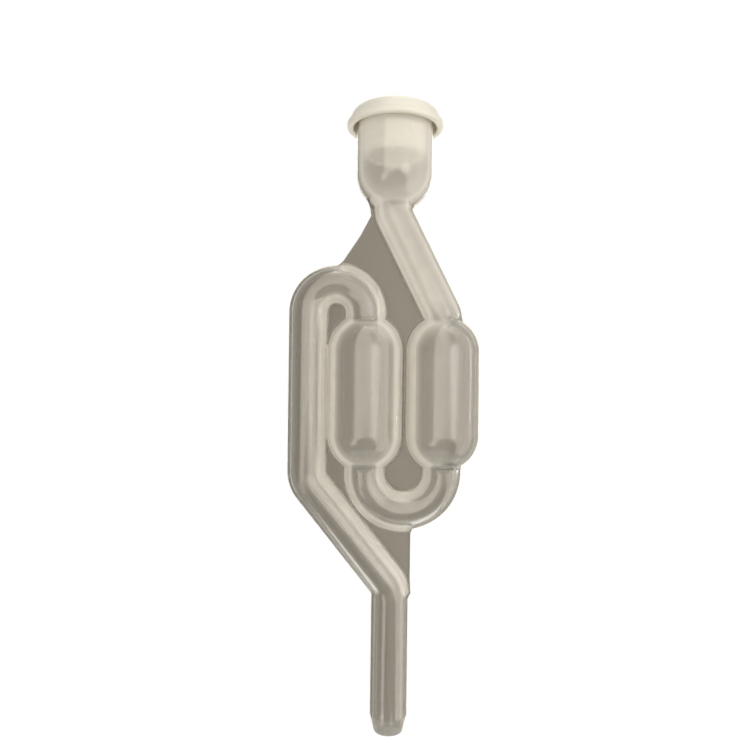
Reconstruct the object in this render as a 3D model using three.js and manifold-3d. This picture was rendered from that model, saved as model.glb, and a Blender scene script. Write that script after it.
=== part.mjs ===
// An S-bend airlock for a fermentation vessel, in millimetres, +Z up, with its front towards -Y.
// The clear body is two mirrored half mouldings, front and rear, welded along the plane Y = 0. Each half is
// made here in sections: the cup, the tubes, the two bulbs and the flat web panels between them.
// Gas enters at the stem's open lower end, climbs the leg, goes over the arch, bubbles through the liquid that
// stands in the bulbs and the U-bend, and leaves through the cup and the vented cap.
// The origin is the centre of the stem's lower end. Every centreline lies in the plane Y = 0.

import * as THREE from "three";
import { mergeVertices } from "three/addons/utils/BufferGeometryUtils.js";
import Module from "manifold-3d";

// Tubes
const TUBE_R = 4.9;
const BORE_R = 3.1;

// Where the upright tubes and chambers stand, along X
const STEM_X = 0;
const LEG_X = -22.3;
const LEFT_BULB_X = -7.1;
const RIGHT_BULB_X = 13.3;

// Bulbs: two capsules
const BULB_R = 9.5;
const BULB_BORE_R = 7.6;
const BULB_LOW_Z = 77.1; // centre of the lower dome
const BULB_HIGH_Z = 98.8; // centre of the upper dome

// Bends
const U_BEND_Z = 67.3; // height of the U-bend's centre
const ARCH_Z = 108.7; // height of the arch's centre
const KNEE_Z = 65.0; // where the leg's centreline would meet the slant's
const FOOT_Z = 37.3; // where the slant's centreline would meet the stem's
const KNEE_BEND_R = 7;
const CUP_TUBE_HIGH_Z = 134.7; // where the cup tube's slope would meet the cup's axis
const CUP_TUBE_LOW_Z = 108.3; // where it would meet the right bulb's axis
const CUP_TUBE_BEND_R = 5.5;
const LEAD = 0.5; // straight run between a bend and the end of its section

// Stem: its end is tapered to enter a drilled bung
const TIP_R = 3.85;
const TIP_LENGTH = 4.2;

// Cup
const CUP_R = 9.9;
const CUP_BORE_R = 8.5;
const CUP_DOME_Z = 145.3; // centre of the round bottom
const RIM_Z = 160.4;
const BEAD_R = 10.3; // the bead around the rim
const BEAD_HEIGHT = 1.8;

// Web
const WEB_THICKNESS = 2; // both halves together
const WEB_EDGE_X = 5.2; // the upright free edge above the stem
const WEB_FOOT_Z = 35.6;
const WEB_SHOULDER = [
  [-6.4, 138],
  [-6, 134.2],
  [-8.7, 129],
  [-13.6, 121.6],
]; // the sloping free edge from the cup down to the arch

// Cap: a brim that overhangs the cup's rim, and a plug that goes down into the cup
const CAP_R = 12.5;
const CAP_BRIM_Z = 156.8; // the brim's open lower edge
const CAP_TOP_Z = 162.1;
const CAP_SHOULDER_R = 2.4;
const BRIM_BORE_R = 10.8;
const PLUG_R = 8.15;
const PLUG_BORE_R = 6.9;
const PLUG_Z = 149.8; // lower end of the plug
const VENT_R = 0.8;
const VENT_CIRCLE_R = 4;
const VENT_COUNT = 4;
const VENT_SIDES = 8;

// Clearances and facets
const GAP = 0.15; // half of the clearance between two sections
const CAP_GAP = 0.1; // between the cup's rim and the underside of the cap
const TUBE_SIDES = 20;
const BORE_SIDES = 16;
const ROUND_SIDES = 24; // around a bulb, the cup and the stem
const CAP_SIDES = 32;
const DOME_STEPS = 6; // over a quarter turn
const BEND_STEP = THREE.MathUtils.degToRad(15);
const FAR = 200; // larger than the whole part, for cutting boxes

const wasm = await Module();
wasm.setup();

// ---- Solids ----

function solidFrom(geometry) {
  geometry.deleteAttribute("normal");
  geometry.deleteAttribute("uv");
  const merged = mergeVertices(geometry, 1e-4);
  const vertProperties = merged.attributes.position.array;
  const triVerts = new Uint32Array(merged.index.array);
  return new wasm.Manifold(new wasm.Mesh({ numProp: 3, vertProperties, triVerts }));
}

function geometryFrom(solid) {
  const mesh = solid.getMesh();
  const geometry = new THREE.BufferGeometry();
  geometry.setAttribute("position", new THREE.BufferAttribute(mesh.vertProperties, 3));
  geometry.setIndex(new THREE.BufferAttribute(mesh.triVerts, 1));
  geometry.computeVertexNormals();
  return geometry;
}

// A box from a low corner to a high corner.
function box(low, high) {
  const size = high.map((value, i) => value - low[i]);
  const middle = high.map((value, i) => (value + low[i]) / 2);
  return solidFrom(new THREE.BoxGeometry(...size).translate(...middle));
}

// The part of a solid between two heights, short of each by half a clearance.
function between(solid, lowZ, highZ) {
  return solid.intersect(box([-FAR, -FAR, lowZ + GAP], [FAR, FAR, highZ - GAP]));
}

// A solid of revolution about the upright axis at x and y, from [radius, height] pairs that run up its outside.
function turned(profile, x, sides = ROUND_SIDES, y = 0) {
  const points = profile.map(([r, z]) => new THREE.Vector2(r, z));
  const geometry = new THREE.LatheGeometry(points, sides);
  return solidFrom(geometry.rotateX(Math.PI / 2).translate(x, y, 0));
}

function cylinder(radius, x, lowZ, highZ, sides = ROUND_SIDES, y = 0) {
  return turned([[0, lowZ], [radius, lowZ], [radius, highZ], [0, highZ]], x, sides, y);
}

// [radius, height] pairs around a quarter circle, between two angles above the horizontal.
function quarter(radius, centreZ, from, to, inset = 0) {
  return Array.from({ length: DOME_STEPS + 1 }, (_, i) => {
    const a = from + ((to - from) * i) / DOME_STEPS;
    return [Math.max(0, inset + radius * Math.cos(a)), centreZ + radius * Math.sin(a)];
  });
}

function capsule(radius, x) {
  const below = quarter(radius, BULB_LOW_Z, -Math.PI / 2, 0);
  const above = quarter(radius, BULB_HIGH_Z, 0, Math.PI / 2);
  return turned([...below, ...above], x);
}

function tube(route, radius, sides) {
  const section = new THREE.Shape().absarc(0, 0, radius, 0, 2 * Math.PI);
  const { steps } = route;
  const options = { steps, curveSegments: sides / 2, bevelEnabled: false, extrudePath: route };
  return solidFrom(new THREE.ExtrudeGeometry(section, options));
}

// ---- Routes ----

// A centreline given by stations, each a point and a direction, so that a straight run is one step.
class Route extends THREE.Curve {
  constructor(stations) {
    super();
    this.stations = stations;
    this.steps = stations.length - 1;
  }
  getPointAt(u, target = new THREE.Vector3()) {
    return target.copy(this.stations[Math.round(u * this.steps)].point);
  }
  getTangentAt(u, target = new THREE.Vector3()) {
    return target.copy(this.stations[Math.round(u * this.steps)].direction);
  }
}

const inPlane = (x, z) => new THREE.Vector3(x, 0, z);

// Stations around an arc. Angles run from +X towards +Z.
function arcStations(centre, radius, from, to) {
  const count = Math.max(2, Math.ceil(Math.abs(to - from) / BEND_STEP));
  const turn = Math.sign(to - from);
  return Array.from({ length: count + 1 }, (_, i) => {
    const a = from + ((to - from) * i) / count;
    return {
      point: inPlane(centre.x + radius * Math.cos(a), centre.z + radius * Math.sin(a)),
      direction: inPlane(-turn * Math.sin(a), turn * Math.cos(a)),
    };
  });
}

// A route through corner points, with each inner corner rounded to the bend radius.
function bentRoute(corners, bendRadius) {
  const heading = (i) => corners[i + 1].clone().sub(corners[i]).normalize();
  const stations = [{ point: corners[0], direction: heading(0) }];
  for (let i = 1; i < corners.length - 1; i++) {
    const before = heading(i - 1);
    const after = heading(i);
    const turn = Math.atan2(before.x * after.z - before.z * after.x, before.dot(after));
    const toCentre = inPlane(-before.z, before.x).multiplyScalar(Math.sign(turn) * bendRadius);
    const reach = bendRadius * Math.tan(Math.abs(turn) / 2);
    const centre = corners[i].clone().addScaledVector(before, -reach).add(toCentre);
    const from = Math.atan2(-toCentre.z, -toCentre.x);
    stations.push(...arcStations(centre, bendRadius, from, from + turn));
  }
  stations.push({ point: corners.at(-1), direction: heading(corners.length - 2) });
  return new Route(stations);
}

// Heights at which the sections meet
const domeReach = (radius) => Math.sqrt(radius ** 2 - TUBE_R ** 2); // to where a tube leaves a dome
const NECK_TOP_Z = BULB_HIGH_Z + domeReach(BULB_R);
const NECK_BOTTOM_Z = BULB_LOW_Z - domeReach(BULB_R);
const CUP_NECK_Z = CUP_DOME_Z - domeReach(CUP_R);
const SLANT_ANGLE = Math.atan2(STEM_X - LEG_X, KNEE_Z - FOOT_Z);
const BEND_REACH = KNEE_BEND_R * Math.tan(SLANT_ANGLE / 2) + LEAD;
const LEG_END_Z = KNEE_Z + BEND_REACH;
const STEM_TOP_Z = FOOT_Z - BEND_REACH;

const ARCH_CENTRE = inPlane((LEG_X + LEFT_BULB_X) / 2, ARCH_Z);
const ARCH_R = (LEFT_BULB_X - LEG_X) / 2;
const U_CENTRE = inPlane((LEFT_BULB_X + RIGHT_BULB_X) / 2, U_BEND_Z);
const U_R = (RIGHT_BULB_X - LEFT_BULB_X) / 2;

const cupTubeRoute = bentRoute(
  [
    inPlane(STEM_X, CUP_NECK_Z),
    inPlane(STEM_X, CUP_TUBE_HIGH_Z),
    inPlane(RIGHT_BULB_X, CUP_TUBE_LOW_Z),
    inPlane(RIGHT_BULB_X, NECK_TOP_Z),
  ],
  CUP_TUBE_BEND_R,
);
const uBendRoute = new Route([
  { point: inPlane(LEFT_BULB_X, NECK_BOTTOM_Z), direction: inPlane(0, -1) },
  ...arcStations(U_CENTRE, U_R, Math.PI, 2 * Math.PI),
  { point: inPlane(RIGHT_BULB_X, NECK_BOTTOM_Z), direction: inPlane(0, 1) },
]);
const archRoute = new Route([
  { point: inPlane(LEFT_BULB_X, NECK_TOP_Z), direction: inPlane(0, 1) },
  ...arcStations(ARCH_CENTRE, ARCH_R, 0, Math.PI),
  { point: inPlane(LEG_X, NECK_TOP_Z), direction: inPlane(0, -1) },
]);
const slantRoute = bentRoute(
  [
    inPlane(LEG_X, LEG_END_Z),
    inPlane(LEG_X, KNEE_Z),
    inPlane(STEM_X, FOOT_Z),
    inPlane(STEM_X, STEM_TOP_Z),
  ],
  KNEE_BEND_R,
);

// ---- The clear body, whole: each section is an outside less its bore ----

function bentSection(route, lowZ, highZ) {
  const whole = tube(route, TUBE_R, TUBE_SIDES).subtract(tube(route, BORE_R, BORE_SIDES));
  return between(whole, lowZ, highZ);
}

function bulbSection(x) {
  const bore = cylinder(BORE_R, x, BULB_LOW_Z - BULB_R, BULB_HIGH_Z + BULB_R, BORE_SIDES);
  const shell = capsule(BULB_R, x).subtract(capsule(BULB_BORE_R, x)).subtract(bore);
  return between(shell, NECK_BOTTOM_Z, NECK_TOP_Z);
}

function legSection() {
  const outside = cylinder(TUBE_R, LEG_X, LEG_END_Z, NECK_TOP_Z, TUBE_SIDES);
  const bore = cylinder(BORE_R, LEG_X, LEG_END_Z, NECK_TOP_Z, BORE_SIDES);
  return between(outside.subtract(bore), LEG_END_Z, NECK_TOP_Z);
}

function stemSection() {
  const outline = [[0, 0], [TIP_R, 0], [TUBE_R, TIP_LENGTH], [TUBE_R, STEM_TOP_Z], [0, STEM_TOP_Z]];
  const bore = cylinder(BORE_R, STEM_X, -1, STEM_TOP_Z + 1, BORE_SIDES);
  return between(turned(outline, STEM_X).subtract(bore), -FAR, STEM_TOP_Z);
}

function cupOutside() {
  const dome = quarter(CUP_R, CUP_DOME_Z, -Math.PI / 2, 0);
  const beadZ = RIM_Z - BEAD_HEIGHT;
  return turned([...dome, [CUP_R, beadZ], [BEAD_R, beadZ], [BEAD_R, RIM_Z], [0, RIM_Z]], STEM_X);
}

function cupSection() {
  const dome = quarter(CUP_BORE_R, CUP_DOME_Z, -Math.PI / 2, 0);
  const inside = turned([...dome, [CUP_BORE_R, RIM_Z + 1], [0, RIM_Z + 1]], STEM_X);
  const bore = cylinder(BORE_R, STEM_X, CUP_DOME_Z - CUP_R, CUP_DOME_Z, BORE_SIDES);
  return between(cupOutside().subtract(inside).subtract(bore), CUP_NECK_Z, FAR);
}

// Everything that the web must stay clear of: the sections' outsides, filled and grown by the clearance.
function keepOut() {
  const grown = TUBE_R + 2 * GAP;
  const routes = [cupTubeRoute, uBendRoute, archRoute, slantRoute];
  const pieces = [
    ...routes.map((route) => tube(route, grown, TUBE_SIDES)),
    capsule(BULB_R + 2 * GAP, LEFT_BULB_X),
    capsule(BULB_R + 2 * GAP, RIGHT_BULB_X),
    cylinder(grown, LEG_X, LEG_END_Z, NECK_TOP_Z, TUBE_SIDES),
    cylinder(grown, STEM_X, 0, STEM_TOP_Z),
    cupOutside(),
  ];
  return pieces.reduce((sum, piece) => sum.add(piece));
}

// ---- Web panels: front halves only, outlined along the middles of the tubes that they join ----

const KEEP_OUT = keepOut();

const around = (centre, radius, from, to) =>
  arcStations(centre, radius, from, to).map(({ point }) => [point.x, point.z]);

function webPanel(outline) {
  const shape = new THREE.Shape(outline.map(([x, z]) => new THREE.Vector2(x, z)));
  const depth = WEB_THICKNESS / 2;
  const plate = new THREE.ExtrudeGeometry(shape, { depth, bevelEnabled: false });
  return solidFrom(plate.rotateX(Math.PI / 2)).subtract(KEEP_OUT);
}

// The narrowest place between the U-bend and the slant, where the side and lower panels part
const NARROW_ANGLE = Math.PI + SLANT_ANGLE;
const NARROW_REACH =
  (U_CENTRE.x - STEM_X) * Math.cos(SLANT_ANGLE) + (U_CENTRE.z - FOOT_Z) * Math.sin(SLANT_ANGLE);
const NARROW_ON_SLANT = [
  U_CENTRE.x + NARROW_REACH * Math.cos(NARROW_ANGLE),
  U_CENTRE.z + NARROW_REACH * Math.sin(NARROW_ANGLE),
];
const EDGE_ANGLE = 2 * Math.PI - Math.acos((WEB_EDGE_X - U_CENTRE.x) / U_R); // on the U-bend's centreline

const webPanels = {
  web_upper: webPanel([
    [STEM_X, CUP_DOME_Z],
    ...WEB_SHOULDER,
    ...around(ARCH_CENTRE, ARCH_R, Math.PI / 2, 0),
    [LEFT_BULB_X, BULB_HIGH_Z + GAP],
    [RIGHT_BULB_X, BULB_HIGH_Z + GAP],
    [RIGHT_BULB_X, CUP_TUBE_LOW_Z],
    [STEM_X, CUP_TUBE_HIGH_Z],
  ]),
  web_centre: webPanel([
    [LEFT_BULB_X, BULB_HIGH_Z - GAP],
    ...around(U_CENTRE, U_R, Math.PI, 2 * Math.PI),
    [RIGHT_BULB_X, BULB_HIGH_Z - GAP],
  ]),
  web_side: webPanel([
    ...around(ARCH_CENTRE, ARCH_R, 0, Math.PI),
    [LEG_X, KNEE_Z],
    NARROW_ON_SLANT,
    ...around(U_CENTRE, U_R, NARROW_ANGLE, Math.PI),
  ]),
  web_lower: webPanel([
    NARROW_ON_SLANT,
    [STEM_X, FOOT_Z],
    [STEM_X, WEB_FOOT_Z],
    [WEB_EDGE_X, WEB_FOOT_Z],
    ...around(U_CENTRE, U_R, EDGE_ANGLE, NARROW_ANGLE),
  ]),
};

// ---- Cap ----

function capSolid() {
  const ceilingZ = RIM_Z + CAP_GAP;
  const shoulder = quarter(
    CAP_SHOULDER_R,
    CAP_TOP_Z - CAP_SHOULDER_R,
    0,
    Math.PI / 2,
    CAP_R - CAP_SHOULDER_R,
  );
  const outline = [[0, CAP_BRIM_Z], [CAP_R, CAP_BRIM_Z], ...shoulder, [0, CAP_TOP_Z]];
  const brimBore = cylinder(BRIM_BORE_R, STEM_X, CAP_BRIM_Z - 1, ceilingZ, CAP_SIDES);
  const plug = cylinder(PLUG_R, STEM_X, PLUG_Z, ceilingZ + CAP_GAP, CAP_SIDES);
  const plugBore = cylinder(PLUG_BORE_R, STEM_X, PLUG_Z - 1, ceilingZ, CAP_SIDES);
  let cap = turned(outline, STEM_X, CAP_SIDES).subtract(brimBore).add(plug).subtract(plugBore);
  for (let i = 0; i < VENT_COUNT; i++) {
    const a = ((i + 0.5) / VENT_COUNT) * 2 * Math.PI;
    const x = STEM_X + VENT_CIRCLE_R * Math.cos(a);
    const y = VENT_CIRCLE_R * Math.sin(a);
    cap = cap.subtract(cylinder(VENT_R, x, ceilingZ - 1, CAP_TOP_Z + 1, VENT_SIDES, y));
  }
  return cap;
}

// ---- The assembly ----

const sections = {
  cup: cupSection(),
  cup_tube: bentSection(cupTubeRoute, NECK_TOP_Z, CUP_NECK_Z),
  right_bulb: bulbSection(RIGHT_BULB_X),
  u_bend: bentSection(uBendRoute, -FAR, NECK_BOTTOM_Z),
  left_bulb: bulbSection(LEFT_BULB_X),
  arch: bentSection(archRoute, NECK_TOP_Z, FAR),
  leg: legSection(),
  slant: bentSection(slantRoute, STEM_TOP_Z, LEG_END_Z),
  stem: stemSection(),
  ...webPanels,
};

const clearMaterial = (name) =>
  new THREE.MeshStandardMaterial({
    name,
    color: name.includes("web") ? 0x9a9382 : 0xc6c0b2,
    roughness: 0.2,
    metalness: 0,
    transparent: true,
    opacity: 0.6,
  });

function halfMoulding(side) {
  const group = new THREE.Group();
  group.name = `${side}_moulding`;
  const frontSpace = box([-FAR, -FAR, -FAR], [FAR, -GAP, FAR]);
  for (const [section, solid] of Object.entries(sections)) {
    const name = `${side}_${section}`;
    const mesh = new THREE.Mesh(geometryFrom(solid.intersect(frontSpace)), clearMaterial(name));
    mesh.name = name;
    group.add(mesh);
  }
  return group;
}

const airlock = new THREE.Group();
airlock.name = "s_bend_airlock";
const front = halfMoulding("front");
const rear = halfMoulding("rear");
rear.scale.y = -1;
const cap = new THREE.Mesh(
  geometryFrom(capSolid()),
  new THREE.MeshStandardMaterial({ name: "cap", color: 0xe2ddcc, roughness: 0.4, metalness: 0 }),
);
cap.name = "cap";
airlock.add(front, rear, cap);

export default airlock;
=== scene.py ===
"""An S-bend airlock: two welded clear half mouldings and a cream snap cap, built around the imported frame."""

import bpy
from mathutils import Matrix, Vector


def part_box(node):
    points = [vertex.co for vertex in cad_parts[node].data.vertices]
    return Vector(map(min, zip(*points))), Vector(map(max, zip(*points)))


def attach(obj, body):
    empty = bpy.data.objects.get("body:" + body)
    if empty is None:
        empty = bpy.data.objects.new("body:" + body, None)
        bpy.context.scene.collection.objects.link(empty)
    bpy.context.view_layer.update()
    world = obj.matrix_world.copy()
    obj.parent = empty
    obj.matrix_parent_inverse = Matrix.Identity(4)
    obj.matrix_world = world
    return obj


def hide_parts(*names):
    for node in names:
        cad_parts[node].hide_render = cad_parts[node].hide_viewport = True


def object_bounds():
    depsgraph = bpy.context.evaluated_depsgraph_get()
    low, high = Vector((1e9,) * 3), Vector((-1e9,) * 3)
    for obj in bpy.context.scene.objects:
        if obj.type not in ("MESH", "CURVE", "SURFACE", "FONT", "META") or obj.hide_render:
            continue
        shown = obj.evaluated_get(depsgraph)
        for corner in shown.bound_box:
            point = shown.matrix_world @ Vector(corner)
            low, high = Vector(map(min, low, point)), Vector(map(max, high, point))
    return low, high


bl_info = {
    "name": "S-bend airlock",
    "version": (1, 0, 0),
    "blender": (4, 5, 0),
    "location": "3D View > Sidebar > Airlock",
    "description": "Builds the clear moulded body, the cap and a plain stage for an S-bend airlock",
    "category": "Object",
}

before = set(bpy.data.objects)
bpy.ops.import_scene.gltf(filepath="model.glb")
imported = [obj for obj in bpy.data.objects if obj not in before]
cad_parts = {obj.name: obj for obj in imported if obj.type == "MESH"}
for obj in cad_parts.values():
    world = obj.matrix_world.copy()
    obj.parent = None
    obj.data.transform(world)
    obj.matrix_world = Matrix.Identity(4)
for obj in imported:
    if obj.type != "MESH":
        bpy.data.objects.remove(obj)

import math

import bpy
import numpy as np
from mathutils import Matrix, Vector

CAD_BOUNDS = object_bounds()
MM = 0.001
CAD_GAP = 0.15  # mm that each CAD section keeps clear at its ends and at the parting plane
ARC_STEP = math.radians(4)
TAU = 2 * math.pi

SECTIONS = (
    "cup", "cup_tube", "right_bulb", "u_bend", "left_bulb", "arch", "leg", "slant", "stem",
    "web_upper", "web_centre", "web_side", "web_lower",
)

# The web's sloping free edge from the cup down to the arch: [mm right of the stem's axis, height]
WEB_SHOULDER = ((-6.4, 138), (-6, 134.2), (-8.7, 129), (-13.6, 121.6))

# Roundings of the clear moulding, in mm
BEAD_ROUND = 0.45
BEAD_BLEND = 0.5
WEB_ROUND = 0.4

# Where the plastic's milkiness carries painted light and shade beyond what its thickness gives, in mm
EDGE_FADE = 3  # over which the painted light from the web, or from the cup's wall, dies away
FILLET_OUT = 0.6  # reach of a fillet's painted light over the web
FILLET_IN = 1.8  # and under the tube
PLUG_BAND = 147.5  # height where the cup's wall begins to get painted light beside the plug
TUBE_BAND = 100  # height where the cup tube begins to turn milkier
TUBE_FADE = 12
TUBE_LEFT = -4  # nothing left of this belongs to the cup tube
CUP_SHARE = 0.7  # of the cup's extra milkiness, partly painted light, all over the cup
PLUG_SHARE = 0.3  # of it, beside the plug only, as painted light

# Stage, in mm
FLOOR_RADIUS = 340
FLOOR_Z = -260
FLOOR_SIDES = 128


# ---- Sizes and colours ----


def cad(node):
    """A CAD node's lowest and highest corner as two arrays, in millimetres."""
    low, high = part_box(node)
    return np.array(low) / MM, np.array(high) / MM


def middle_x(node):
    low, high = cad(node)
    return (low[0] + high[0]) / 2


def radius_of(node):
    low, high = cad(node)
    return (high[0] - low[0]) / 2


def distance(name, description, millimetres):
    """A size property. Its default is given in millimetres and kept in metres."""
    return bpy.props.FloatProperty(
        name=name, description=description, default=millimetres * MM, unit="LENGTH", min=0, precision=5
    )


def colour(name, description, default):
    return bpy.props.FloatVectorProperty(
        name=name, description=description, default=default, subtype="COLOR", size=3, min=0, max=8
    )


def share(name, description, default):
    return bpy.props.FloatProperty(
        name=name, description=description, default=default, subtype="FACTOR", min=0, max=1
    )


class AirlockSizes(bpy.types.PropertyGroup):
    """Sizes of the clear moulding and the cap. What the frame holds comes from the frame."""

    tube_radius: distance("Tube radius", "Outside of every tube", radius_of("front_stem"))
    bore_radius: distance("Bore radius", "Inside of every tube", 3.1)
    tip_radius: distance("Tip radius", "Outside of the stem's open end", 3.85)
    tip_length: distance("Tip length", "Length of the stem's taper", 4.2)
    bulb_radius: distance("Bulb radius", "Outside of both bulbs", radius_of("front_left_bulb"))
    bulb_wall: distance("Bulb wall", "Thickness of the bulbs' wall", 1.9)
    knee_height: distance("Knee height", "Where the leg's line would meet the slant's", 65)
    foot_height: distance("Foot height", "Where the slant's line would meet the stem's", 37.3)
    knee_bend: distance("Knee bend", "Centreline radius of the knee and the foot", 7)
    inlet_high: distance("Cup tube top", "Where the cup tube's slope would meet the cup's axis", 134.7)
    inlet_low: distance("Cup tube end", "Where the cup tube's slope would meet the bulb's axis", 108.3)
    inlet_bend: distance("Cup tube bend", "Centreline radius of the cup tube's bends", 5.5)
    cup_radius: distance("Cup radius", "Outside of the cup below its bead", 9.9)
    cup_wall: distance("Cup wall", "Thickness of the cup's wall", 1.4)
    bead_height: distance("Bead height", "Height of the bead around the rim", 1.8)
    web_thickness: distance("Web thickness", "Both halves of the web together", 2)
    web_edge: distance("Web edge", "How far right of the stem's axis the web's free edge stands", 5.2)
    web_foot: distance("Web foot", "Height of the web's lowest corner", 35.6)
    fillet: distance("Fillet", "Reach of the fillet between a tube and the web", 1.5)
    neck_fillet: distance("Neck fillet", "Reach of the fillet where a tube meets a bulb or the cup", 1)
    edge_round: distance("Edge rounding", "Rounding of the moulded edges", 0.25)
    parting: distance("Parting", "Half of the hairline between the half mouldings", 0.01)
    mesh_step: distance("Mesh step", "Spacing of the grid that the moulding is sampled on", 0.45)
    cap_height: distance("Cap height", "Height of the cap above its brim's open edge", 5.3)
    cap_shoulder: distance("Cap shoulder", "Rounding of the cap's upper edge", 2.7)
    cap_dome: distance("Cap dome", "How far the cap's top is domed", 0.25)
    cap_seat: distance("Cap seat", "Gap between the cup's rim and the inside of the cap", 0.12)
    brim_bore: distance("Brim bore", "Inside radius of the cap's brim", 10.8)
    plug_radius: distance("Plug radius", "Outside radius of the cap's plug", 8.15)
    plug_bore: distance("Plug bore", "Inside radius of the cap's plug", 6.9)
    vent_radius: distance("Vent radius", "Radius of the cap's vents", 0.8)
    vent_circle: distance("Vent circle", "Radius of the circle that the vents stand on", 4)


class AirlockLooks(bpy.types.PropertyGroup):
    """Linear colours, how milky the plastic is, with painted light and shade in the milkiness, and how bright
    the plug's painted light is.
    """

    clear_tint: colour("Clear tint", "Colour of light that passes the plastic", (0.90, 0.885, 0.845))
    # Bright colour of dense milkiness: partly the thick plastic's own whiteness, partly painted light on the
    # fillets and the cup
    haze: colour("Haze", "Colour of the thick plastic's milkiness", (0.93, 0.885, 0.80))
    thin_haze: colour("Thin haze", "Colour of the thin walls' milkiness", (0.55, 0.52, 0.45))
    web_haze: colour("Web haze", "Colour of the thin web's milkiness", (0.47, 0.44, 0.38))
    haze_depth: distance("Haze depth", "Depth of plastic that hides two thirds of what is behind", 8.5)
    least_haze: share("Least haze", "Milkiness of the thinnest plastic", 0.05)
    clear_depth: distance("Clear depth", "Depth of plastic that still looks clear", 1.6)
    # Painted light: extra milkiness along the fillets, bright where the web leads light into the tubes' walls
    fillet_painted_light: distance("Fillet haze", "Depth of plastic that the fillets' milkiness is worth", 9)
    # Painted shade: walls with a free edge keep only this share of their milkiness, so those rims render
    # darker
    free_edge_shaded_haze: share("Free edge haze", "Milkiness of walls that no web borders, beside the others'", 0.5)
    # Extra milkiness in the cup and the cup tube; in the cup it is partly painted light, lightening the cup
    # and its wall beside the plug
    cup_haze_and_painted_light: distance("Cup haze", "Depth of plastic that the cup's milkiness is worth beyond its wall", 4.5)
    room_behind: colour("Room behind", "Colour that shows through the plastic", (0.265, 0.243, 0.212))
    room_front: colour("Room in front", "Dim part of the front that shows in the plastic", (0.30, 0.28, 0.25))
    room_window: colour("Window inside", "The window as it shows in the plastic", (0.85, 0.82, 0.76))
    room_dark: colour("Room dark", "Dim part of the room in gloss", (0.10, 0.10, 0.10))
    window: colour("Window", "The window in gloss", (4.2, 3.86, 3.4))
    soft_front: colour("Soft front", "Soft light on matt surfaces from the front", (0.9, 0.88, 0.83))
    soft_behind: colour("Soft behind", "Soft light on matt surfaces from behind", (0.60, 0.58, 0.54))
    cap_cream: colour("Cap cream", "Colour of the cap", (0.78, 0.75, 0.665))
    # Painted light: emission on the plug, seen through plastic, standing for light from the milky cup around
    # it
    plug_painted_glow: share("Plug glow", "Light that the plug passes on from the milky cup around it", 0.62)
    # Painted shade: the share of the plug's painted light that is left out in its bore
    bore_painted_shade: share("Bore dimming", "Share of that light that the plug's bore doesn't get", 0.38)
    floor: colour("Floor", "Colour of the floor", (0.8, 0.8, 0.79))


def sizes():
    """Every size property by name, in millimetres."""
    group = bpy.context.scene.airlock_sizes
    return {name: getattr(group, name) / MM for name in AirlockSizes.__annotations__}


def looks():
    return bpy.context.scene.airlock_looks


# ---- Lines in the parting plane: arrays of [x, z] in millimetres ----


def arc(centre, radius, start, end):
    """centre + radius (cos a, sin a), with a going from start to end in equal steps."""
    count = max(2, math.ceil(abs(end - start) / ARC_STEP))
    a = np.linspace(start, end, count + 1)
    return np.stack([centre[0] + radius * np.cos(a), centre[1] + radius * np.sin(a)], 1)


def rounded(corners, radius):
    """The line through the corners, each inner corner replaced by the arc that touches both of its sides."""
    corners = np.array(corners, float)
    parts = [corners[:1]]
    for before, corner, after in zip(corners, corners[1:], corners[2:]):
        u = (corner - before) / np.linalg.norm(corner - before)
        v = (after - corner) / np.linalg.norm(after - corner)
        turn = math.atan2(u[0] * v[1] - u[1] * v[0], u @ v)
        to_centre = np.array([-u[1], u[0]]) * math.copysign(radius, turn)
        centre = corner - u * radius * math.tan(abs(turn) / 2) + to_centre
        start = math.atan2(-to_centre[1], -to_centre[0])
        parts.append(arc(centre, radius, start, start + turn))
    parts.append(corners[-1:])
    return np.concatenate(parts)


def joined(*parts):
    """The parts end to end, without the points that repeat the one before them."""
    line = np.concatenate([np.array(part, float) for part in parts])
    apart = np.linalg.norm(np.diff(line, axis=0), axis=1) > 1e-3
    return line[np.append(True, apart)]


def line_distance(x, z, line):
    """Distance in the plane from each point to a line of straight pieces. Each point is dropped onto every
    piece, held between the piece's ends, and the least distance is kept."""
    best = np.full(np.shape(x), np.inf)
    for (ax, az), (bx, bz) in zip(line, line[1:]):
        dx, dz = bx - ax, bz - az
        t = np.clip(((x - ax) * dx + (z - az) * dz) / (dx * dx + dz * dz), 0, 1)
        best = np.minimum(best, (x - ax - t * dx) ** 2 + (z - az - t * dz) ** 2)
    return np.sqrt(best)


def outline_distance(x, z, outline):
    """Signed distance to a closed outline, negative inside. A point is inside if a ray from it along +X
    crosses the outline an odd number of times."""
    closed = np.concatenate([outline, outline[:1]])
    inside = np.zeros(np.shape(x), bool)
    for (ax, az), (bx, bz) in zip(closed, closed[1:]):
        if az != bz:
            spans = (az > z) != (bz > z)
            inside ^= spans & (x < ax + (z - az) * (bx - ax) / (bz - az))
    return np.where(inside, -1, 1) * line_distance(x, z, closed)


# ---- Distances to solids, negative inside ----


def blend_min(a, b, reach):
    """The lesser of two distances, with the crease between them filled by a parabola over the reach."""
    h = np.clip(0.5 + 0.5 * (b - a) / reach, 0, 1)
    return b + (a - b) * h - reach * h * (1 - h)


def blend_max(a, b, reach):
    return -blend_min(-a, -b, reach)


def round_plate(outline, height, half_thickness, radius):
    """A plate of a given outline distance and half thickness, with its edges rounded."""
    across = outline + radius
    up = np.abs(height) - (half_thickness - radius)
    return np.minimum(np.maximum(across, up), 0) + np.hypot(np.maximum(across, 0), np.maximum(up, 0)) - radius


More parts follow.
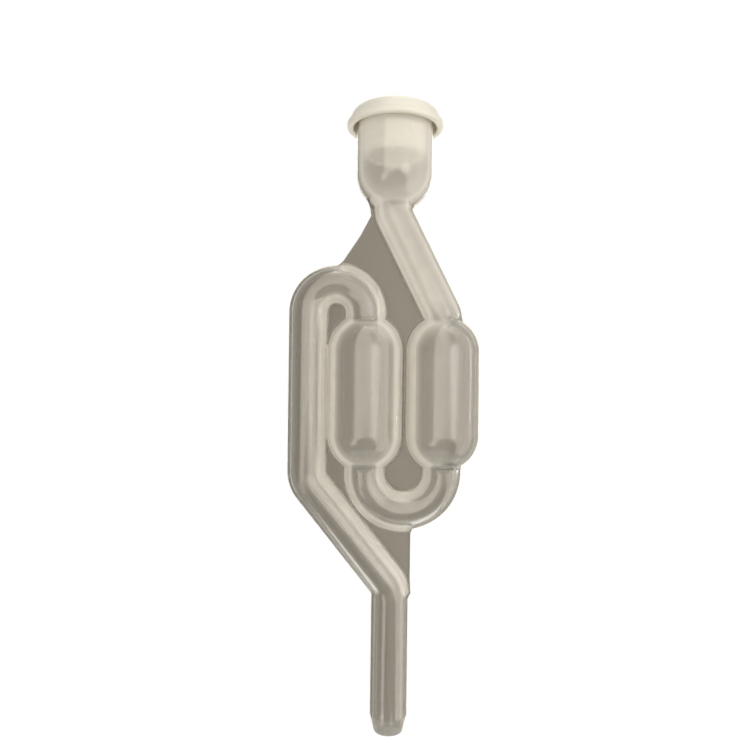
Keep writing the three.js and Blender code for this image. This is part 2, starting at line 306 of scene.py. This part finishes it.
class Moulding:
    """The clear body as a distance to its surface: tubes of one radius along one long centreline, two capsule
    bulbs, the cup and the web, blended where they meet, less the hollow that runs through them all."""

    def __init__(self, size):
        self.size = size
        r = size["tube_radius"]
        bulb_reach = math.sqrt(size["bulb_radius"] ** 2 - r**2)
        cup_reach = math.sqrt(size["cup_radius"] ** 2 - r**2)
        left_low, left_high = cad("front_left_bulb")
        cup_low, cup_high = cad("front_cup")
        self.stem_x = middle_x("front_stem")
        self.leg_x = middle_x("front_leg")
        self.left_x = middle_x("front_left_bulb")
        self.right_x = middle_x("front_right_bulb")
        self.bulb_low = left_low[2] - CAD_GAP + bulb_reach
        self.bulb_high = left_high[2] + CAD_GAP - bulb_reach
        self.cup_z = cup_low[2] - CAD_GAP + cup_reach
        self.rim = cup_high[2]
        self.bead_radius = radius_of("front_cup")
        self.arch_radius = (self.left_x - self.leg_x) / 2
        self.arch = (self.leg_x + self.arch_radius, cad("front_arch")[1][2] - r - self.arch_radius)
        self.u_radius = (self.right_x - self.left_x) / 2
        self.u_bend = (self.left_x + self.u_radius, cad("front_u_bend")[0][2] + r + self.u_radius)
        self.centreline = self.make_centreline()
        self.web = self.make_web()

    def make_centreline(self):
        """The whole gas path: in below the stem's end, up the leg, over the arch, down and up through the
        bulbs, and up the cup tube into the cup."""
        size = self.size
        rise = [
            (self.stem_x, -5),
            (self.stem_x, size["foot_height"]),
            (self.leg_x, size["knee_height"]),
            (self.leg_x, self.arch[1]),
        ]
        outlet = [
            (self.right_x, self.bulb_high),
            (self.right_x, size["inlet_low"]),
            (self.stem_x, size["inlet_high"]),
            (self.stem_x, self.cup_z),
        ]
        return joined(
            rounded(rise, size["knee_bend"]),
            arc(self.arch, self.arch_radius, math.pi, 0),
            arc(self.u_bend, self.u_radius, math.pi, TAU),
            rounded(outlet, size["inlet_bend"]),
        )

    def make_web(self):
        """The web's outline: its two free edges, and elsewhere the centrelines of the tubes round it."""
        size = self.size
        edge_angle = TAU - math.acos((size["web_edge"] - self.u_bend[0]) / self.u_radius)
        return joined(
            [(self.stem_x, self.cup_z)],
            [(self.stem_x + right, height) for right, height in WEB_SHOULDER],
            arc(self.arch, self.arch_radius, math.pi / 2, math.pi),
            [(self.leg_x, size["knee_height"]), (self.stem_x, size["foot_height"])],
            [(self.stem_x, size["web_foot"]), (self.stem_x + size["web_edge"], size["web_foot"])],
            arc(self.u_bend, self.u_radius, edge_angle, TAU),
            [(self.right_x, size["inlet_low"]), (self.stem_x, size["inlet_high"])],
        )

    def plane(self, x, z):
        """Everything about a point that doesn't depend on how far it is in front of the parting plane."""
        top = 1000
        return {
            "x": x,
            "z": z,
            "route": line_distance(x, z, self.centreline),
            "bulbs": np.minimum(
                line_distance(x, z, [(self.left_x, self.bulb_low), (self.left_x, self.bulb_high)]),
                line_distance(x, z, [(self.right_x, self.bulb_low), (self.right_x, self.bulb_high)]),
            ),
            "cup": line_distance(x, z, [(self.stem_x, self.cup_z), (self.stem_x, top)]),
            "web": outline_distance(x, z, self.web),
        }

    def tube_radius(self, z):
        """The tubes' radius, which falls in a straight line over the stem's tapered end."""
        size = self.size
        slope = (size["tube_radius"] - size["tip_radius"]) / size["tip_length"]
        return np.minimum(size["tube_radius"], size["tip_radius"] + slope * z)

    def outside(self, p, y):
        """The body as if it were solid: each tube and vessel is the distance to its middle line less its
        radius, and all are blended with the bead and the web, and cut level at both ends."""
        size = self.size
        tubes = np.hypot(p["route"], y) - self.tube_radius(p["z"])
        bulbs = np.hypot(p["bulbs"], y) - size["bulb_radius"]
        cup = np.hypot(p["cup"], y) - size["cup_radius"]
        half_bead = size["bead_height"] / 2
        around = np.hypot(p["x"] - self.stem_x, y) - self.bead_radius
        bead = round_plate(around, p["z"] - (self.rim - half_bead), half_bead, BEAD_ROUND)
        vessels = np.minimum(bulbs, blend_min(cup, bead, BEAD_BLEND))
        web = round_plate(p["web"], y, size["web_thickness"] / 2, WEB_ROUND)
        shape = blend_min(blend_min(tubes, vessels, size["neck_fillet"]), web, size["fillet"])
        shape = blend_max(shape, p["z"] - self.rim, size["edge_round"])
        return blend_max(shape, -p["z"], size["edge_round"])

    def hollow(self, p, y):
        """The gas path inside: the bore and the chambers of the bulbs and the cup, blended at their necks."""
        size = self.size
        bores = np.hypot(p["route"], y) - size["bore_radius"]
        bulbs = np.hypot(p["bulbs"], y) - (size["bulb_radius"] - size["bulb_wall"])
        cup = np.hypot(p["cup"], y) - (size["cup_radius"] - size["cup_wall"])
        return blend_min(bores, np.minimum(bulbs, cup), size["neck_fillet"])

    def front_half(self, p, y):
        """The front half moulding alone, on the -Y side of the parting plane."""
        whole = blend_max(self.outside(p, y), -self.hollow(p, y), self.size["edge_round"])
        return np.maximum(whole, y + self.size["parting"])

    def inner_share(self, p, y):
        """1 on the walls of the hollow and on the seam between the halves, and 0 on the outside."""
        on_hollow = np.abs(self.hollow(p, y)) < np.abs(self.outside(p, y))
        return on_hollow | (y > -2 * self.size["parting"])

    def gap(self, p):
        """How far a point of the parting plane is from the nearest tube or vessel, negative inside it."""
        size = self.size
        return np.min([
            p["route"] - size["tube_radius"],
            p["bulbs"] - size["bulb_radius"],
            p["cup"] - size["cup_radius"],
        ], axis=0)

    def web_share(self, p):
        """1 on the flat of the web, falling to 0 over the fillets."""
        return np.clip(2 * self.gap(p) / self.size["fillet"] - 0.2, 0, 1) * (p["web"] < 0)

    def haze_and_painted_light_share(self, p, look):
        """How much the milkiness hides of what is behind it: 1 - exp(-depth / haze_depth). The depth is twice
        the height of the outer arches over the parting plane less that of the inner ones. On top of that it
        carries painted light and shade: it counts for less towards a free edge, as painted shade where no web
        leads light into the wall, and for more in the cup tube, and in the cup, beside the plug and in the
        fillets as painted light."""
        size = self.size

        def height(name, radius):
            return np.sqrt(np.maximum(radius**2 - p[name] ** 2, 0))

        outer = np.max([
            np.where(p["web"] < 0, size["web_thickness"] / 2, 0),
            height("route", size["tube_radius"]),
            height("bulbs", size["bulb_radius"]),
            height("cup", size["cup_radius"]),
        ], axis=0)
        inner = np.max([
            height("route", size["bore_radius"]),
            height("bulbs", size["bulb_radius"] - size["bulb_wall"]),
            height("cup", size["cup_radius"] - size["cup_wall"]),
        ], axis=0)
        webbed = np.clip(0.5 - p["web"] / EDGE_FADE, 0, 1)
        in_cup = np.clip(0.5 + (size["cup_radius"] - p["cup"]) / EDGE_FADE, 0, 1)
        gap = self.gap(p)
        # Painted light along the fillets between the web and the tubes
        fillet = np.clip(1 - np.maximum(gap / FILLET_OUT, -gap / FILLET_IN), 0, 1) * (p["web"] < 0)
        # Painted light on the cup's wall beside the plug
        beside_plug_painted_light = in_cup * np.clip((p["z"] - PLUG_BAND) / EDGE_FADE, 0, 1)
        up_cup_tube = np.clip((p["z"] - TUBE_BAND) / TUBE_FADE, 0, 1)
        in_cup_tube = up_cup_tube * (p["x"] > TUBE_LEFT) * (gap < 0) * (1 - in_cup)
        # Less milkiness towards a free edge: painted shade on those rims
        share = look.free_edge_shaded_haze + (1 - look.free_edge_shaded_haze) * np.maximum(webbed, in_cup)
        depth = np.maximum(2 * (outer - inner) * share * MM - look.clear_depth, 0)
        depth += look.cup_haze_and_painted_light * (CUP_SHARE * in_cup + PLUG_SHARE * beside_plug_painted_light + in_cup_tube)
        depth += look.fillet_painted_light * fillet * webbed
        return 1 - np.exp(-depth / look.haze_depth)


# ---- Meshes ----


def level_surface(field, origin, step):
    """The surface where a sampled field is zero, as corner points and four-sided faces. Each grid cell that
    the surface passes through gets one corner, at the mean of where the surface crosses the cell's edges.
    Each grid edge that it crosses gets one face, through the four cells around that edge."""
    inside = field < 0
    cells = tuple(n - 1 for n in field.shape)
    total = np.zeros(cells + (3,))
    count = np.zeros(cells)
    for axis in range(3):
        others = [a for a in range(3) if a != axis]
        for i in (0, 1):
            for j in (0, 1):
                start = [0, 0, 0]
                start[others[0]], start[others[1]] = i, j
                a = field[tuple(slice(s, s + n) for s, n in zip(start, cells))]
                start[axis] = 1
                b = field[tuple(slice(s, s + n) for s, n in zip(start, cells))]
                crossed = (a < 0) != (b < 0)
                place = np.zeros(cells + (3,))
                place[..., others[0]], place[..., others[1]] = i, j
                place[..., axis] = np.where(crossed, a / np.where(crossed, a - b, 1), 0)
                total += place * crossed[..., None]
                count += crossed
    used = count > 0
    number = np.full(cells, -1)
    number[used] = np.arange(used.sum())
    corners = np.argwhere(used) + total[used] / count[used][:, None]
    faces = []
    for axis in range(3):
        others = [(axis + 1) % 3, (axis + 2) % 3]
        a = np.moveaxis(inside, [axis, *others], [0, 1, 2])
        n = np.moveaxis(number, [axis, *others], [0, 1, 2])
        near, far = a[:-1, 1:-1, 1:-1], a[1:, 1:-1, 1:-1]
        around = np.stack([n[:, :-1, :-1], n[:, 1:, :-1], n[:, 1:, 1:], n[:, :-1, 1:]], -1)
        faces.append(around[near & ~far])
        faces.append(around[~near & far][:, ::-1])
    return corners * step + origin, np.concatenate(faces)


def settle(moulding, points, passes=2, reach=0.02, least_slope=0.3, furthest=0.1):
    """Moves points onto the surface, each by its distance over the distance's slope, down that slope. The
    slope is the difference over a small reach to both sides, and comes back as the surface's normal. The
    distance counts as no more than the furthest, and the slope as no less than the least, so that a point
    beside a crease doesn't jump."""
    for turn in range(passes + 1):
        x, y, z = points.T
        here = moulding.plane(x, z)
        value = moulding.front_half(here, y)
        slope = np.stack([
            moulding.front_half(moulding.plane(x + reach, z), y)
            - moulding.front_half(moulding.plane(x - reach, z), y),
            moulding.front_half(here, y + reach) - moulding.front_half(here, y - reach),
            moulding.front_half(moulding.plane(x, z + reach), y)
            - moulding.front_half(moulding.plane(x, z - reach), y),
        ], 1) / (2 * reach)
        size = np.maximum(np.linalg.norm(slope, axis=1, keepdims=True), least_slope)
        if turn < passes:
            points = points - slope / size**2 * np.clip(value, -furthest, furthest)[:, None]
            points[:, 1] = np.minimum(points[:, 1], -moulding.size["parting"])
    return points, slope / size


def mesh_object(name, points, faces):
    """A smooth mesh object at the origin, from points in millimetres and faces with equal corner counts."""
    mesh = bpy.data.meshes.new(name)
    sides = faces.shape[1]
    mesh.vertices.add(len(points))
    mesh.vertices.foreach_set("co", (points * MM).astype(np.float32).ravel())
    mesh.loops.add(faces.size)
    mesh.loops.foreach_set("vertex_index", faces.astype(np.int32).ravel())
    mesh.polygons.add(len(faces))
    mesh.polygons.foreach_set("loop_start", np.arange(0, faces.size, sides, dtype=np.int32))
    mesh.polygons.foreach_set("use_smooth", np.full(len(faces), True))
    mesh.update(calc_edges=True)
    mesh.validate()
    made = bpy.data.objects.new(name, mesh)
    bpy.context.scene.collection.objects.link(made)
    return made


def read_mesh(piece):
    """A triangle mesh's points in millimetres and its faces."""
    mesh = piece.data
    points, faces = np.empty(3 * len(mesh.vertices), np.float32), np.empty(3 * len(mesh.polygons), np.int32)
    mesh.vertices.foreach_get("co", points)
    mesh.polygons.foreach_get("vertices", faces)
    return points.reshape(-1, 3) / MM, faces.reshape(-1, 3)


def set_attribute(piece, name, values):
    attribute = piece.data.attributes.new(name, "FLOAT", "POINT")
    attribute.data.foreach_set("value", np.asarray(values, np.float32))


def lathe_object(name, outline, sides):
    """The outline, [radius, height] pairs in millimetres from the axis round to the axis, turned about Z.
    Point (i, j) is (r cos a, r sin a, h) with r, h from the outline's point i and a the j-th of equal
    angles."""
    outline = np.array(outline, float)
    rings, a = outline[1:-1], np.linspace(0, TAU, sides, endpoint=False)
    x, y = rings[:, :1] * np.cos(a), rings[:, :1] * np.sin(a)
    z = np.repeat(rings[:, 1:], sides, axis=1)
    poles = np.array([[0, 0, outline[0, 1]], [0, 0, outline[-1, 1]]])
    points = np.concatenate([np.stack([x, y, z], -1).reshape(-1, 3), poles])
    start, end = len(points) - 2, len(points) - 1
    index = np.arange(len(rings) * sides).reshape(len(rings), sides)
    after = np.roll(index, -1, axis=1)
    bands = np.stack([index[:-1], after[:-1], after[1:], index[1:]], -1).reshape(-1, 4)
    caps = np.concatenate([
        np.stack([np.full(sides, start), after[0], index[0]], 1),
        np.stack([np.full(sides, end), index[-1], after[-1]], 1),
    ])
    triangles = np.concatenate([bands[:, [0, 1, 2]], bands[:, [0, 2, 3]], caps])
    return mesh_object(name, points, triangles)


# ---- Materials ----


class Value:
    """A number in a shader. Arithmetic on it adds Math nodes."""

    def __init__(self, shader, socket):
        self.shader = shader
        self.socket = socket

    def math(self, operation, a, b=0.0):
        return self.shader.node("ShaderNodeMath", {"operation": operation}, {0: a, 1: b})

    def __add__(self, other):
        return self.math("ADD", self, other)

    def __radd__(self, other):
        return self.math("ADD", other, self)

    def __sub__(self, other):
        return self.math("SUBTRACT", self, other)

    def __rsub__(self, other):
        return self.math("SUBTRACT", other, self)

    def __mul__(self, other):
        return self.math("MULTIPLY", self, other)

    def __rmul__(self, other):
        return self.math("MULTIPLY", other, self)

    def __truediv__(self, other):
        return self.math("DIVIDE", self, other)

    def held(self):
        """The number held between 0 and 1."""
        return self.math("MINIMUM", self.math("MAXIMUM", self, 0.0), 1.0)


class Shader:
    """A node tree that is built by expressions."""

    def __init__(self, owner):
        owner.use_nodes = True
        self.tree = owner.node_tree
        self.tree.nodes.clear()
        is_world = isinstance(owner, bpy.types.World)
        self.end = "ShaderNodeOutputWorld" if is_world else "ShaderNodeOutputMaterial"

    def node(self, kind, settings=None, sockets=None, output=0):
        """Adds a node of this type, sets its settings, then its sockets' values or links, and returns one of
        its outputs."""
        made = self.tree.nodes.new(kind)
        for name, value in (settings or {}).items():
            setattr(made, name, value)
        for name, value in (sockets or {}).items():
            socket = made.inputs[name]
            if isinstance(value, Value):
                self.tree.links.new(value.socket, socket)
            else:
                socket.default_value = (*value, 1) if socket.type == "RGBA" else value
        return Value(self, made.outputs[output]) if made.outputs else made

    def mix(self, factor, a, b):
        """A colour between a and b."""
        return self.node("ShaderNodeMix", {"data_type": "RGBA"}, {0: factor, 6: a, 7: b}, 2)

    def rise(self, value, low, high):
        """0 below low, 1 above high and a smooth step between them."""
        settings = {"interpolation_type": "SMOOTHSTEP"}
        return self.node("ShaderNodeMapRange", settings, {"Value": value, "From Min": low, "From Max": high})

    def spot(self, across, up, centre, half):
        """1 inside an ellipse of this centre and these half widths, with a narrow soft edge."""
        u, v = (across - centre[0]) / half[0], (up - centre[1]) / half[1]
        return 1 - self.rise(u * u + v * v, 0.85, 1.15)

    def noise(self, scale, detail=2.0, stretch=(1, 1, 1)):
        """Noise on Object coordinates. The scale is how many grains there are in a metre."""
        place = self.node("ShaderNodeTexCoord", output="Object")
        place = self.node("ShaderNodeMapping", {}, {"Vector": place, "Scale": stretch})
        return self.node("ShaderNodeTexNoise", {}, {"Vector": place, "Scale": scale, "Detail": detail})

    def attribute(self, name):
        return self.node("ShaderNodeAttribute", {"attribute_name": name}, output="Fac")

    def bump(self, height, distance):
        return self.node("ShaderNodeBump", {}, {"Height": height, "Distance": distance, "Strength": 1.0})

    def finish(self, surface):
        self.node(self.end, {}, {"Surface": surface})


def clear_plastic():
    """Milky clear moulded plastic, with faint cloudiness and upright flow streaks. The tubes and vessels are
    glossy and the flat of the web is duller. The milkiness carries painted light and shade, and turns a
    brighter colour where it is dense: partly the thick plastic's own whiteness, partly painted light on the
    fillets and the cup."""
    look = looks()
    material = bpy.data.materials.new("milky_clear_plastic")
    s = Shader(material)
    inner, web = s.attribute("inner"), s.attribute("web")
    cloud = s.noise(260, 3)
    streak = s.noise(900, 2, (1, 1, 0.12))
    # The milky shader's share: milkiness from the plastic's depth, with the painted light and shade that the
    # attribute carries
    milky = look.least_haze + (1 - look.least_haze) * s.attribute("haze")
    milky = (milky * (1 - inner * 0.75) * (0.9 + cloud * 0.2)).held()
    # Dense milkiness turns the bright colour: partly the thick plastic's own whiteness, partly painted light
    # on the fillets and the cup
    haze = s.mix(s.rise(s.attribute("haze"), 0.25, 0.7), tuple(look.thin_haze), tuple(look.haze))
    haze = s.mix(web, haze, tuple(look.web_haze))
    haze = s.mix(streak * 0.12, haze, (0.95, 0.93, 0.88))
    rough = 0.09 + cloud * 0.05 + streak * 0.03 + web * 0.25
    normal = s.bump(cloud + streak * 0.2, 0.000008)
    glossy, dull, milk = (
        s.node("ShaderNodeBsdfPrincipled", {}, {
            "Base Color": base, "Roughness": rough, "IOR": ior, "Transmission Weight": clearness,
            "Normal": normal,
        })
        for base, ior, clearness in (
            (tuple(look.clear_tint), 1.49, 1.0),
            (tuple(look.clear_tint), 1.15, 1.0),
            (haze, 1.4, 0.0),
        )
    )
    clear = s.node("ShaderNodeMixShader", {}, {0: web, 1: glossy, 2: dull})
    s.finish(s.node("ShaderNodeMixShader", {}, {0: milky, 1: clear, 2: milk}))
    return material


def cap_plastic():
    """Softer, nearly opaque cream plastic with faint cloudiness and turned rings 0.7 mm apart. The plug and
    its bore get painted light, seen only through plastic, that stands for light from the milky cup around
    them; the bore gets less of it, as painted shade."""
    look, size = looks(), sizes()
    material = bpy.data.materials.new("cream_cap_plastic")
    s = Shader(material)
    cloud = s.noise(180, 3)
    grain = s.noise(2600, 1)
    place = s.node("ShaderNodeTexCoord", output="Object")
    x, y, z = (s.node("ShaderNodeSeparateXYZ", {}, {0: place}, i) for i in range(3))
    off_axis = x.math("SQRT", x * x + y * y)
    rings = off_axis.math("SINE", off_axis * (TAU / (0.7 * MM)))
    base = s.mix(cloud, tuple(0.93 * c for c in look.cap_cream), tuple(look.cap_cream))
    out, height = off_axis * (1 / MM), z * (1 / MM)
    plug_edge, bore_edge, rim = size["plug_radius"] + 0.15, size["plug_bore"] + 0.2, cad("front_cup")[1][2]
    plug = (1 - s.rise(out, plug_edge, plug_edge + 0.6)) * (1 - s.rise(height, rim, rim + 0.8))
    in_bore = 1 - s.rise(out, bore_edge, bore_edge + 0.5)
    # Painted light: emission on the plug, less of it in its bore, shown only to rays that have passed through
    # plastic
    through_plastic = s.node("ShaderNodeLightPath", output="Is Transmission Ray")
    painted_glow = plug * through_plastic * (1 - in_bore * look.bore_painted_shade)
    surface = s.node("ShaderNodeBsdfPrincipled", {}, {
        "Emission Color": s.mix(painted_glow, (0.0, 0.0, 0.0), tuple(look.cap_cream)),
        "Emission Strength": look.plug_painted_glow,
        "Base Color": base, "Roughness": 0.34 + cloud * 0.12, "IOR": 1.49, "Subsurface Weight": 0.5,
        "Subsurface Radius": (1.0, 0.85, 0.6), "Subsurface Scale": 0.002,
        "Normal": s.bump(grain + cloud + rings * 0.25, 0.00002),
    })
    s.finish(surface)
    return material


def floor_paint():
    """Matt pale paint with broad faint clouds and a little light of its own, so that its far edge fades."""
    look = looks()
    material = bpy.data.materials.new("pale_floor")
    s = Shader(material)
    cloud = s.noise(6, 2)
    base = s.mix(cloud, tuple(0.97 * c for c in look.floor), tuple(look.floor))
    s.finish(s.node("ShaderNodeBsdfPrincipled", {}, {
        "Base Color": base, "Roughness": 0.7, "Emission Color": (1.0, 0.99, 0.97), "Emission Strength": 0.3,
    }))
    return material


# ---- Operators ----


class AIRLOCK_OT_mouldings(bpy.types.Operator):
    """Build the front and rear clear half mouldings"""

    bl_idname = "airlock.mouldings"
    bl_label = "Half mouldings"

    def execute(self, context):
        size = sizes()
        moulding = Moulding(size)
        step = size["mesh_step"] * 1
        low, high = (np.array(corner) / MM for corner in CAD_BOUNDS)
        # The sampled box has just over two steps of room all round, and ends behind the parting plane.
        low, high = low - 2.3 * step, high + 2.3 * step
        high[1] = 2.2 * step
        xs, ys, zs = (np.arange(a, b, step) for a, b in zip(low, high))
        plane = moulding.plane(*np.meshgrid(xs, zs, indexing="ij"))
        spread = {name: value[:, None, :] for name, value in plane.items()}
        field = moulding.front_half(spread, ys[None, :, None])
        points, faces = level_surface(field, np.array([xs[0], ys[0], zs[0]]), step)
        points, normals = settle(moulding, points)
        plane = moulding.plane(points[:, 0], points[:, 2])
        inner = moulding.inner_share(plane, points[:, 1])
        # Milkiness per point, with painted light on the fillets and the cup and painted shade at the free
        # edges
        haze = moulding.haze_and_painted_light_share(plane, looks())
        web = moulding.web_share(plane)
        material = clear_plastic()
        for side, flip in (("front", 1), ("rear", -1)):
            mirror = np.array([1, flip, 1])
            piece = mesh_object(f"{side}_moulding", points * mirror, faces[:, ::flip])
            piece.data.normals_split_custom_set_from_vertices(normals * mirror)
            set_attribute(piece, "haze", haze)
            set_attribute(piece, "inner", inner)
            set_attribute(piece, "web", web)
            piece.data.materials.append(material)
            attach(piece, "body")
            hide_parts(*(f"{side}_{section}" for section in SECTIONS))
        return {"FINISHED"}


class AIRLOCK_OT_cap(bpy.types.Operator):
    """Build the snap cap with its brim, plug and vents"""

    bl_idname = "airlock.cap"
    bl_label = "Cap"

    def execute(self, context):
        size = sizes()
        low, high = cad("cap")
        plug_z, top = low[2], high[2]
        ceiling = cad("front_cup")[1][2] + size["cap_seat"]
        piece = lathe_object("cap_shell", self.outline(size, radius_of("cap"), plug_z, ceiling, top), 192)
        self.cut_vents(piece, size, ceiling - 2, top + 2)
        piece.data.materials.append(cap_plastic())
        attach(piece, "cap")
        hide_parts("cap")
        return {"FINISHED"}

    @staticmethod
    def outline(size, radius, plug_z, ceiling, top):
        """Half of the cap's section, from the middle of its ceiling down the plug's bore, up the plug's
        outside, round the brim and its lip, and over the shoulder to the middle of the dome. The dome falls
        with the square of the radius."""
        bore, plug, brim = size["plug_bore"], size["plug_radius"], size["brim_bore"]
        shoulder, dome = size["cap_shoulder"], size["cap_dome"]
        brim_z = top - size["cap_height"]
        end, corner, brim_corner, brim_edge, lip = 0.45, 0.5, 0.3, 0.6, 0.3  # roundings
        lip_z, notch_z, notch, inset, first_angle = brim_z + 1.3, brim_z + 1.85, 0.25, 0.95, 0.12
        rings = np.arange(8.4, 0, -0.6)
        down, under, up = math.pi, 1.5 * math.pi, math.pi / 2
        return joined(
            [(0, ceiling - 0.02)],
            arc((bore - corner, ceiling - corner), corner, up, 0),
            arc((bore + end, plug_z + end), end, down, under),
            arc((plug - end, plug_z + end), end, under, TAU),
            [(plug, ceiling), (brim - brim_corner, ceiling)],
            arc((brim - brim_corner, ceiling - brim_corner), brim_corner, up, 0),
            arc((brim + corner, brim_z + corner), corner, down, under),
            arc((radius - brim_edge, brim_z + brim_edge), brim_edge, under, TAU),
            arc((radius - lip, lip_z), lip, 0, up),
            arc((radius - lip / 2, notch_z), notch, under, down),
            arc((radius - inset - shoulder, top - shoulder - dome), shoulder, first_angle, up),
            [(r, top - dome * (r / (radius - 1)) ** 2) for r in rings],
            [(0, top)],
        )

    @staticmethod
    def cut_vents(piece, size, low, high):
        """Round pins, one on each diagonal, cut out of the cap's top."""
        r, reach, sides = size["vent_radius"], size["vent_circle"], 32
        pin = np.array([(0, low), (r, low), (r, high), (0, high)])
        pins = lathe_object("vent_pins", pin, sides)
        one, faces = read_mesh(pins)
        turns = np.radians([45, 135, 225, 315])
        middles = np.stack([reach * np.cos(turns), reach * np.sin(turns), np.zeros(4)], 1)
        points = (one[None] + middles[:, None]).reshape(-1, 3)
        faces = (faces[None] + len(one) * np.arange(4)[:, None, None]).reshape(-1, 3)
        bpy.data.objects.remove(pins)
        pins = mesh_object("vent_pins", points, faces)
        cut = piece.modifiers.new("vents", "BOOLEAN")
        cut.operation, cut.solver, cut.object = "DIFFERENCE", "EXACT", pins
        graph = bpy.context.evaluated_depsgraph_get()
        mesh = bpy.data.meshes.new_from_object(piece.evaluated_get(graph))
        piece.modifiers.clear()
        piece.data = mesh
        mesh.set_sharp_from_angle(angle=math.radians(35))
        bpy.data.objects.remove(pins)


class AIRLOCK_OT_stage(bpy.types.Operator):
    """Lay the floor and set the light and the camera"""

    bl_idname = "airlock.stage"
    bl_label = "Floor, light and camera"

    def execute(self, context):
        self.floor()
        self.world()
        self.lamps()
        self.camera()
        return {"FINISHED"}

    @staticmethod
    def floor():
        """A flat disc well below the object, so that the stem hangs clear of it."""
        a = np.linspace(0, TAU, FLOOR_SIDES, endpoint=False)
        rim = np.stack([FLOOR_RADIUS * np.cos(a), FLOOR_RADIUS * np.sin(a), np.full(FLOOR_SIDES, FLOOR_Z)], 1)
        points = np.concatenate([rim, [[0, 0, FLOOR_Z]]])
        here = np.arange(FLOOR_SIDES)
        faces = np.stack([here, np.roll(here, -1), np.full(FLOOR_SIDES, FLOOR_SIDES)], 1)
        piece = mesh_object("floor", points, faces)
        piece.data.materials.append(floor_paint())

    @staticmethod
    def world():
        """A white backdrop, and a soft room that only the surfaces see. Gloss reflects a broad bright window
        in front and a weaker one behind. The front window leans below the horizon, fades to the right, stops
        at its low left corner, and has a dark block low in its middle and a dim one high on its right. Light
        that passes through the plastic comes from a beige grey room with the same window. Angles are in
        degrees: azimuth from the front towards the right, and elevation from the horizon."""
        look = looks()
        world = bpy.data.worlds.new("studio")
        bpy.context.scene.world = world
        s = Shader(world)
        direction = s.node("ShaderNodeTexCoord", output="Generated")
        x, y, z = (s.node("ShaderNodeSeparateXYZ", {}, {0: direction}, i) for i in range(3))
        azimuth = x.math("ARCTAN2", x, y * -1) * (180 / math.pi)
        elevation = z.math("ARCSINE", z) * (180 / math.pi)
        lean = azimuth.math("MINIMUM", elevation + 6, 0.0) * 0.8
        left_edge, right_fade = s.rise(azimuth - lean, -38, -26), 1 - s.rise(azimuth, 72, 112) * 0.85
        low_left = (1 - s.rise(elevation, -34, -26)) * (1 - s.rise(azimuth, -36, -28))
        dark_block = s.spot(azimuth, elevation, (6, -47), (41, 41))
        dim_block = s.spot(azimuth, elevation, (30, 44), (13, 14)) * 0.4
        window = left_edge * right_fade * (1 - low_left) * (1 - dark_block) * (1 - dim_block)
        front = 1 - s.rise(y, -0.3, 0.3)
        rear_window = s.rise(azimuth.math("ABSOLUTE", azimuth), 145, 158) * 0.4
        gloss = s.mix(window + rear_window, tuple(look.room_dark), tuple(look.window))
        through = s.mix(front, tuple(look.room_behind), tuple(look.room_front))
        through = s.mix(window * 0.8, through, tuple(look.room_window))
        soft = s.mix(front, tuple(look.soft_behind), tuple(look.soft_front))
        seen, glossy, passed = (
            s.node("ShaderNodeLightPath", output=f"Is {name} Ray")
            for name in ("Camera", "Glossy", "Transmission")
        )
        # A ray that has passed through plastic also counts as glossy, so that room goes over the glossy one.
        room = s.mix(passed, s.mix(glossy, soft, gloss), through)
        room = s.mix(seen, room, (1, 1, 1))
        s.finish(s.node("ShaderNodeBackground", {}, {"Color": room, "Strength": 1.0}))

    @staticmethod
    def lamps():
        """Large soft lamps: a key at the front right and above, and a weaker one overhead."""
        middle = Vector((0, 0, 0.09))
        for name, place, size, power in (
            ("key", (0.5, -0.8, 0.2), 0.5, 1.5),
            ("overhead", (0.1, 0.0, 0.9), 0.6, 0.8),
        ):
            lamp = bpy.data.lights.new(name, "AREA")
            lamp.shape, lamp.size, lamp.energy = "DISK", size, power
            made = bpy.data.objects.new(name, lamp)
            made.location = place
            made.rotation_euler = (middle - Vector(place)).to_track_quat("-Z", "Y").to_euler()
            bpy.context.scene.collection.objects.link(made)

    @staticmethod
    def camera():
        """Level, a little above the object's middle and close in front of it, rolled by under a degree."""
        camera = bpy.data.cameras.new("camera")
        camera.sensor_width, camera.lens = 36, 30.95
        made = bpy.data.objects.new("camera", camera)
        target, reach, roll = Vector((-0.0045, 0, 0.0926)), 0.169, math.radians(0.7)
        forward = Vector((0, 1, 0))
        turn = forward.to_track_quat("-Z", "Y").to_matrix().to_4x4() @ Matrix.Rotation(roll, 4, "Z")
        made.matrix_world = Matrix.Translation(target - forward * reach) @ turn
        bpy.context.scene.collection.objects.link(made)
        bpy.context.scene.camera = made
        bpy.context.scene.view_settings.view_transform = "Standard"


class AIRLOCK_PT_panel(bpy.types.Panel):
    """Lists the airlock's pieces and its properties"""

    bl_idname = "AIRLOCK_PT_panel"
    bl_label = "S-bend airlock"
    bl_space_type = "VIEW_3D"
    bl_region_type = "UI"
    bl_category = "Airlock"

    def draw(self, context):
        for operator in OPERATORS:
            self.layout.operator(operator.bl_idname)
        for group in (context.scene.airlock_sizes, context.scene.airlock_looks):
            box = self.layout.box()
            for name in type(group).__annotations__:
                box.prop(group, name)


OPERATORS = (AIRLOCK_OT_mouldings, AIRLOCK_OT_cap, AIRLOCK_OT_stage)
CLASSES = (AirlockSizes, AirlockLooks, *OPERATORS, AIRLOCK_PT_panel)


def register():
    for each in CLASSES:
        bpy.utils.register_class(each)
    bpy.types.Scene.airlock_sizes = bpy.props.PointerProperty(type=AirlockSizes)
    bpy.types.Scene.airlock_looks = bpy.props.PointerProperty(type=AirlockLooks)


def unregister():
    del bpy.types.Scene.airlock_sizes
    del bpy.types.Scene.airlock_looks
    for each in reversed(CLASSES):
        bpy.utils.unregister_class(each)


def main():
    """Builds every piece and the stage."""
    register()
    bpy.ops.airlock.mouldings()
    bpy.ops.airlock.cap()
    bpy.ops.airlock.stage()
    bpy.context.view_layer.update()


if __name__ == "__main__":
    main()
